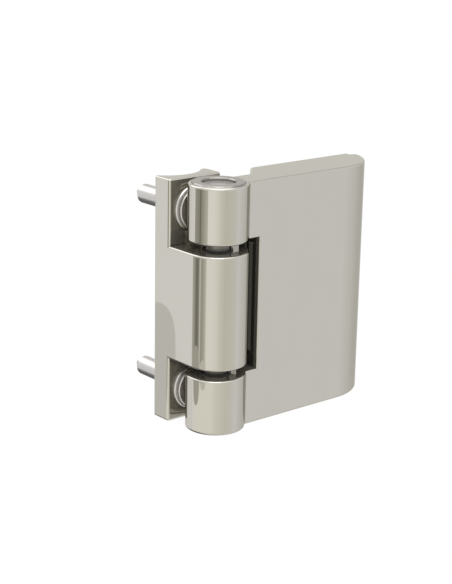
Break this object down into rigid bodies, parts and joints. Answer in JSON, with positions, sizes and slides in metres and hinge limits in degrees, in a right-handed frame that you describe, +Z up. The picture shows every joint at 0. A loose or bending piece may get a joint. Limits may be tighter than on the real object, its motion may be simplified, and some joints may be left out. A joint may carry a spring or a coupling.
{
  "type": "shutter hinge",
  "caption": "Hinge for a window shutter: a frame leaf with a middle barrel and two screws, and a thick sash leaf whose knuckles swing about a through pin.",
  "frame": {"origin": "midway between the two frame screws, on the back plane of the frame leaf", "axes": "+X along the sash leaf at rest, +Y into the window frame along the screws, +Z up along the pin"},
  "size_m": [0.0735, 0.049, 0.0758],
  "materials": {
    "polished_nickel": "polished warm nickel plating",
    "satin_steel": "satin turned steel",
    "dark_steel": "ground steel, a little dark",
    "bright_steel": "bright zinc-plated steel",
    "dark_polymer": "plain moulded",
    "grey_polymer": "plain moulded"
  },
  "bodies": {
    "frame": {"frame_leaf": "polished_nickel", "hinge_pin": "dark_steel", "pin_grub_screw": "bright_steel", "upper_pin_ring": "dark_polymer", "lower_pin_ring": "dark_polymer", "upper_frame_screw": "bright_steel", "lower_frame_screw": "bright_steel"},
    "sash": {"sash_leaf": "polished_nickel", "upper_plug": "satin_steel", "lower_plug": "satin_steel", "upper_thrust_disc": "grey_polymer", "lower_thrust_disc": "grey_polymer", "upper_bush": "dark_polymer", "lower_bush": "dark_polymer"}
  },
  "joints": [
    {"name": "leaf_swing", "type": "hinge", "parent": "frame", "child": "sash", "pos_m": [0.00005, -0.01845, 0], "axis": [0, 0, -1], "range_deg": [-30, 180]}
  ]
}
